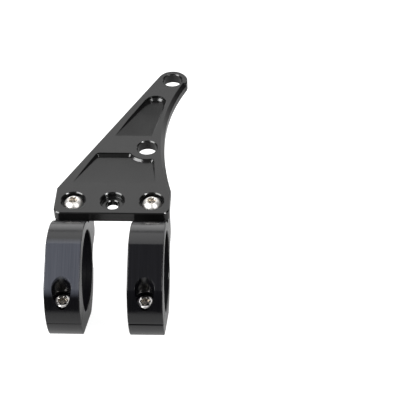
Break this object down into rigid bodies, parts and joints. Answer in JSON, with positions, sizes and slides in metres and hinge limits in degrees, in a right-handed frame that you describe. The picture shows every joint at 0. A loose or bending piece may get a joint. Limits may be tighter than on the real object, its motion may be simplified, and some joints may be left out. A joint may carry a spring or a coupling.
{
  "type": "headlight mounting bracket",
  "caption": "Bolted headlight bracket for one fork leg: two split clamps grip the fork tube and carry a flat pocketed arm with an eyelet for the lamp.",
  "frame": {"origin": "on the fork tube's axis, midway between the two clamps", "axes": "+X along the fork tube towards the clamp on the eyelet's side, +Y the way the arm reaches, +Z out of the arm's top face"},
  "size_m": [0.0665, 0.1805, 0.0599],
  "materials": {
    "anodised_arm": "satin black anodised",
    "anodised_clamp": "semi-gloss black anodised",
    "screw_steel": "bright turned stainless steel"
  },
  "bodies": {
    "root": {"arm": "anodised_arm", "outer_clamp": "anodised_clamp", "inner_clamp": "anodised_clamp", "outer_arm_screw": "screw_steel", "inner_arm_screw": "screw_steel", "outer_pinch_bolt": "screw_steel", "inner_pinch_bolt": "screw_steel"}
  },
  "joints": []
}
